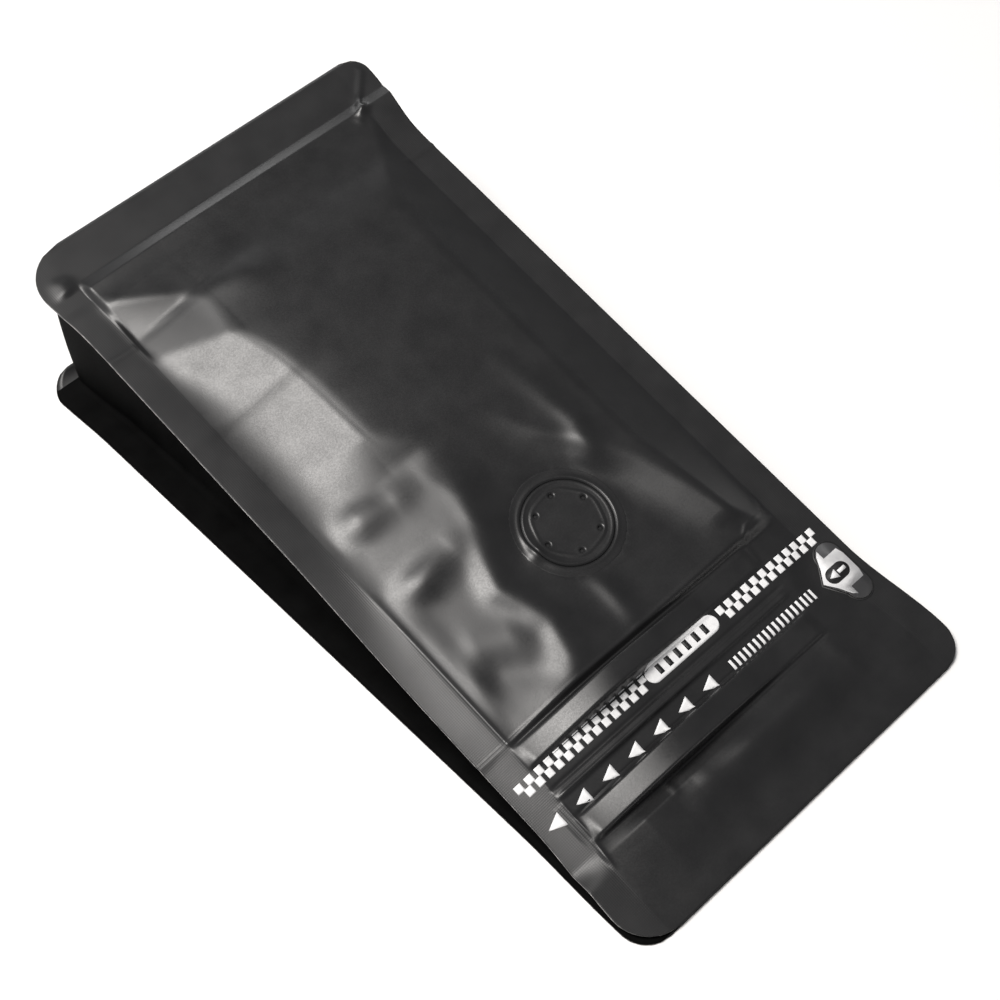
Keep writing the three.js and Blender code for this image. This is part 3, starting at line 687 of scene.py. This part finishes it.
def bottom_panel():
    left, right = (seal_line(side, BOTTOM_SEAL) - side["sign"] * BOTTOM["inset"] for side in (LEFT, RIGHT))
    x = np.linspace(left, right, BOTTOM["columns"])[None, :]
    along = np.linspace(0, 1, BOTTOM["rows"])[:, None]
    top = front_point(x, np.full(x.shape, BOTTOM_SEAL), -GUSSET_DEPTH)
    foot = back_point(x, np.full(x.shape, back_v(BOTTOM_SEAL)), GUSSET_DEPTH)
    points = lerp(top, foot, along[..., None])
    across = 1 - (x / BOTTOM["half"]) ** 2
    points[..., 1] += BOTTOM["bow"] * np.sin(np.pi * along) * across
    places = np.stack([points[..., 0], points[..., 2]], -1).reshape(-1, 2)
    piece = thin_strip("bottom_panel", points, GUSSET_SHADED_BLACK, GUSSET_FILM, places, np.zeros(points.shape[:2]))
    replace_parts(piece, "pouch")


# ---- valve ----

VALVE_RINGS = [                   # radius, width and height of what shows of the valve under the film
    {"radius": 7.9, "width": 0.4, "height": 0.08},
    {"radius": 8.5, "width": 0.34, "height": -0.05},
    {"radius": 9.75, "width": 0.4, "height": 0.12},
    {"radius": 10.35, "width": 0.24, "height": -0.22},
    {"radius": 11.0, "width": 0.45, "height": 0.1},
]
PINS = {"radius": 7.1, "angles": (-78, -18, 50, 108, 171, 231), "width": 0.42, "depth": 1.3,
        "rim": 0.1, "rim_width": 1.0}
SCALLOP = {"height": 0.22, "count": 6, "turn": 20, "radius": 7.9, "spread": 1.2}    # wave of the inner rings
DISC_ROWS = ((0.5, 9), (6, 34), (10.3, 0))
COLLAR = {"radii": (10.35, 13.2), "rows": 20, "sink": 0.1, "ease": 0.6}    # film round it, of the panel
VALVE_TURNS = 180
VALVE_LIFT = 0.03


def valve_height(radius, angle):
    wave = np.cos(SCALLOP["count"] * (angle - math.radians(SCALLOP["turn"])))
    near = np.exp(-(((radius - SCALLOP["radius"]) / SCALLOP["spread"]) ** 2))
    scallop = SCALLOP["height"] * wave * near
    height = np.zeros(np.shape(radius))
    for ring in VALVE_RINGS:
        away = radius + scallop - ring["radius"]
        height = height + ring["height"] * np.exp(-((away / ring["width"]) ** 2))
    x, v = radius * np.cos(angle), radius * np.sin(angle)
    for turn in PINS["angles"]:
        turn = math.radians(turn)
        away = np.hypot(x - PINS["radius"] * math.cos(turn), v - PINS["radius"] * math.sin(turn))
        height = height + PINS["rim"] * np.exp(-((away / PINS["rim_width"]) ** 2))
        height = height - PINS["depth"] * np.exp(-((away / PINS["width"]) ** 2))
    return height


def round_plate(upper, lower, filled):
    """The plate between two round grids, whose columns close on themselves. filled closes its middle too."""
    rings, turns = upper.shape[:2]
    count = rings * turns
    index = np.arange(count).reshape(rings, turns)
    after = np.roll(index, -1, 1)
    inner, outer = slice(0, -1), slice(1, None)
    top = np.stack([index[inner], index[outer], after[outer], after[inner]], -1).reshape(-1, 4)
    side = np.stack([index[-1], index[-1] + count, after[-1] + count, after[-1]], -1)
    faces = [*top.tolist(), *(top[:, ::-1] + count).tolist(), *side.tolist()]
    if filled:
        faces += [index[0].tolist(), (index[0, ::-1] + count).tolist()]
    else:
        faces += np.stack([after[0], after[0] + count, index[0] + count, index[0]], -1).tolist()
    return np.concatenate([upper.reshape(-1, 3), lower.reshape(-1, 3)]), faces


def disc_piece(name, radii, node, filled):
    angle = np.linspace(0, -2 * math.pi, VALVE_TURNS, endpoint=False)[None, :]
    radius = np.asarray(radii)[:, None]
    x = VALVE["x"] + radius * np.cos(angle)
    v = VALVE["v"] + radius * np.sin(angle)
    rim = COLLAR["radii"][1]
    sink = COLLAR["sink"] * smoothstep(radius, rim - COLLAR["ease"], rim)
    lift = valve_height(radius, angle) + VALVE_LIFT - sink
    points, faces = round_plate(front_point(x, v, lift), front_point(x, v, lift - FILM), filled)
    places = np.stack([thinned(x), thinned(v)], -1)
    piece = make_piece(name, points, faces, FILM_BLACK, places, np.zeros(len(points)))
    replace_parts(piece, node)


def valve():
    disc_piece("valve_disc", rows_of(*DISC_ROWS), "valve", filled=True)
    collar = np.linspace(*COLLAR["radii"], COLLAR["rows"])
    disc_piece("valve_collar", collar, "pouch", filled=False)


# ---- pull tab ----

TAB_LIFT = 0.3
TAB_FILM = 0.22
LOBE_POINTS = 25
TAB_CENTRE = (42.1, 171.2)        # of the print on the tab, a little below the tab's own middle
TAB_ARROW = [(-6.1, 0), (-4.1, 2.7), (-2.6, 5.4), (-1.5, 6.4), (-1.5, 4.2), (2.5, 4.2), (3.0, 2.4)]
TAB_OVAL = {"x": (-4.7, 1.7), "half": 1.9, "points": 13}
TAB_MARK = {"head": [(-3.9, 0), (-1.7, -1.15), (-1.7, 1.15)],
            "bar": [(-1.3, -0.45), (0.9, -0.45), (0.9, 0.45), (-1.3, 0.45)]}
TAB_PRINT_LIFT = {"arrow": 0.03, "oval": 0.06, "mark": 0.09}
# Painted shade: the cut round the tab is drawn as a dark ring, not as a gap.
CUT = {"grow": (-0.1, 0.5), "lift": 0.05}       # the cut round the tab, from inside to outside its edge
INK_FILM = 0.02                   # thickness of printed pieces


def tab_outline(grow=0.0):
    """Two round lobes with a tip between them, as places round the tab."""
    lobe = TAB["lobe"] + grow
    turn = np.linspace(0, math.pi, LOBE_POINTS)
    upper = np.stack([lobe * np.cos(turn), TAB["lobe_v"] + lobe * np.sin(turn)], -1)
    tip_x, tip_v = TAB["tip"]
    outline = np.concatenate([upper, [[tip_x - grow * TAB["tip_growth"], tip_v]], -upper])
    return outline + [TAB["x"], TAB["v"]]


def outline_plate(outline, top, bottom):
    """The plate inside an outline on the front panel, between two heights over it."""
    count = len(outline)
    points = [front_point(outline[:, 0], outline[:, 1], height) for height in (top, bottom)]
    sides = [[(i + 1) % count, i, count + i, count + (i + 1) % count] for i in range(count)]
    return np.concatenate(points), [list(range(count)), list(range(2 * count - 1, count - 1, -1)), *sides]


def tab_film():
    outline = tab_outline()
    points, faces = outline_plate(outline, TAB_LIFT, TAB_LIFT - TAB_FILM)
    piece = make_piece("tab_film", points, faces, TAB_GREY_AND_SHEEN, np.tile(outline, (2, 1)),
                       np.zeros(len(points)), range(2, len(faces)))
    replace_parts(piece, "pull_tab")


def tab_cut_shade():
    """Painted shade in the cut round the tab: a dark ring between two outlines, where the gap lies in shade.
    """
    places = np.stack([tab_outline(grow) for grow in CUT["grow"]])
    rings = [front_point(places[..., 0], places[..., 1], height)
             for height in (CUT["lift"], CUT["lift"] - INK_FILM)]
    points, faces = round_plate(*rings, filled=False)
    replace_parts(make_piece("tab_cut_shade", points, faces, DARK_INK_AND_SHADE), "pouch")


def tab_shape(name, outline, material, lift):
    points, faces = outline_plate(outline, TAB_LIFT + lift, TAB_LIFT + lift - INK_FILM)
    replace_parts(make_piece(name, points, faces, material), "pull_tab")


def tab_print():
    arrow = np.array(TAB_ARROW)
    mirrored = arrow[:0:-1] * [1, -1]
    arrow = (np.concatenate([arrow, mirrored]) + TAB_CENTRE)[::-1]
    tab_shape("tab_arrow", arrow, INK, TAB_PRINT_LIFT["arrow"])
    x0, x1 = TAB_OVAL["x"]
    half = TAB_OVAL["half"]
    turn = np.linspace(-math.pi / 2, math.pi / 2, TAB_OVAL["points"])
    right = np.stack([x1 - half + half * np.cos(turn), half * np.sin(turn)], -1)
    left = np.stack([x0 + half - half * np.cos(turn), -half * np.sin(turn)], -1)
    tab_shape("tab_oval", np.concatenate([right, left]) + TAB_CENTRE, DARK_INK_AND_SHADE, TAB_PRINT_LIFT["oval"])
    for name, outline in TAB_MARK.items():
        tab_shape("tab_mark_" + name, np.array(outline) + TAB_CENTRE, INK, TAB_PRINT_LIFT["mark"])


# ---- print ----

PRINT_LIFT = 0.05                 # of printed pieces over the film
MARK_LIFT = 0.09                  # and of those that are printed over others


def film_print(name, shapes, material, lift=PRINT_LIFT):
    """Flat printed shapes on the front panel, each (xs, low, high, steps) and filled from low to high."""
    points, faces, count = [], [], 0
    for xs, low, high, steps in shapes:
        share = np.linspace(0, 1, steps + 1)[:, None]
        v = lerp(np.asarray(low, float)[None, :], np.asarray(high, float)[None, :], share)
        x = np.broadcast_to(np.asarray(xs, float)[None, :], v.shape)
        plate, plate_faces, _ = closed_plate(front_point(x, v, lift), front_point(x, v, lift - INK_FILM))
        points.append(plate)
        faces += [[count + i for i in face] for face in plate_faces]
        count += len(plate)
    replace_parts(make_piece(name, np.concatenate(points), faces, material), "pouch")


def rectangle(x0, x1, v0, v1, columns=5, steps=6):
    xs = np.linspace(x0, x1, columns + 1)
    return xs, np.full(xs.shape, v0), np.full(xs.shape, v1), steps


CHECKS = {"start": -46.3, "end": 44.2, "pitch": 2.68, "square": 1.72, "v": (159.75, 161.55, 163.35)}
PLATE = {"start": -9.7, "end": 11.6, "v": (159.35, 163.5), "round_points": 10, "straight_points": 24,
         "steps": 8}
PLATE_MARKS = {"first": 3.2, "pitch": 2.75, "count": 6, "width": 1.2, "half": 1.15, "steps": 4}
TRIANGLES = {"first": -46.8, "pitch": 7.43, "count": 7, "length": 3.66, "half": 1.7, "v": 170.9,
             "points": 7, "steps": 4}
DASHES = {"first": 6.6, "pitch": 1.5, "count": 18, "width": 0.7, "v": (169.8, 172.4)}


def checks():
    shapes = []
    low, middle, high = CHECKS["v"]
    for row, (v0, v1) in enumerate(((low, middle), (middle, high))):
        x = CHECKS["start"] + row * CHECKS["pitch"] / 2
        while x + CHECKS["square"] <= CHECKS["end"]:
            if x + CHECKS["square"] < PLATE["start"] or x > PLATE["end"]:
                shapes.append(rectangle(x, x + CHECKS["square"], v0, v1))
            x += CHECKS["pitch"]
    film_print("print_checks", shapes, INK)


def plate_print():
    low, high = PLATE["v"]
    middle, radius = (low + high) / 2, (high - low) / 2
    rounding = radius * (1 - np.cos(np.linspace(0, np.pi / 2, PLATE["round_points"])))
    straight = np.linspace(PLATE["start"] + radius, PLATE["end"] - radius, PLATE["straight_points"])
    xs = np.unique(np.concatenate([PLATE["start"] + rounding, straight, PLATE["end"] - rounding]))
    inset = np.minimum(xs - PLATE["start"], PLATE["end"] - xs)
    half = np.where(inset < radius, np.sqrt(np.maximum(radius ** 2 - (radius - inset) ** 2, 0)), radius)
    film_print("print_plate", [(xs, middle - half, middle + half, PLATE["steps"])], INK)
    marks = []
    for i in range(PLATE_MARKS["count"]):
        x = PLATE["start"] + PLATE_MARKS["first"] + i * PLATE_MARKS["pitch"]
        marks.append(rectangle(x, x + PLATE_MARKS["width"], middle - PLATE_MARKS["half"],
                               middle + PLATE_MARKS["half"], 1, PLATE_MARKS["steps"]))
    film_print("print_plate_marks", marks, DARK_INK_AND_SHADE, MARK_LIFT)


def triangles():
    shapes = []
    for i in range(TRIANGLES["count"]):
        tip = TRIANGLES["first"] + i * TRIANGLES["pitch"]
        xs = np.linspace(tip, tip + TRIANGLES["length"], TRIANGLES["points"])
        half = TRIANGLES["half"] * (xs - tip) / TRIANGLES["length"]
        shapes.append((xs, TRIANGLES["v"] - half, TRIANGLES["v"] + half, TRIANGLES["steps"]))
    film_print("print_triangles", shapes, INK)


def dashes():
    starts = [DASHES["first"] + i * DASHES["pitch"] for i in range(DASHES["count"])]
    shapes = [rectangle(x, x + DASHES["width"], *DASHES["v"]) for x in starts]
    film_print("print_dashes", shapes, INK)


# ---- camera, floor and lights ----

def camera():
    data = bpy.data.cameras.new("camera")
    data.lens = LENS
    view = bpy.data.objects.new("camera", data)
    view.location = Vector(CAMERA_AT) * MM
    view.rotation_euler = Euler([math.radians(a) for a in CAMERA_TURN])
    bpy.context.scene.collection.objects.link(view)
    bpy.context.scene.camera = view


def area_light(name, direction, distance, size, power, color=(1, 1, 1)):
    data = bpy.data.lights.new(name, "AREA")
    data.shape = "RECTANGLE"
    data.size, data.size_y = size
    data.energy = power
    data.color = color
    lamp = bpy.data.objects.new(name, data)
    lamp.location = Vector(direction).normalized() * distance
    lamp.rotation_euler = (-lamp.location).to_track_quat("-Z", "Y").to_euler()
    bpy.context.scene.collection.objects.link(lamp)


def studio():
    bpy.ops.mesh.primitive_plane_add(size=FLOOR["size"])
    floor = bpy.context.active_object
    floor.name = "floor"
    floor.data.materials.append(plain_material("floor_white", FLOOR["color"], FLOOR["roughness"], 0))
    world = bpy.data.worlds.new("studio")
    world.use_nodes = True
    world.node_tree.nodes["Background"].inputs["Color"].default_value = WORLD_GREY
    bpy.context.scene.world = world
    bpy.context.scene.view_settings.view_transform = "Standard"
    area_light("softbox", color=WARM_WHITE, **SOFTBOX)
    area_light("halo", **HALO)
    area_light("back", **BACK)


camera()
studio()
front_panel()
back_panel()
gusset("gusset_left", LEFT)
gusset("gusset_right", RIGHT)
bottom_panel()
checks()
plate_print()
triangles()
dashes()
valve()
tab_film()
tab_cut_shade()
tab_print()
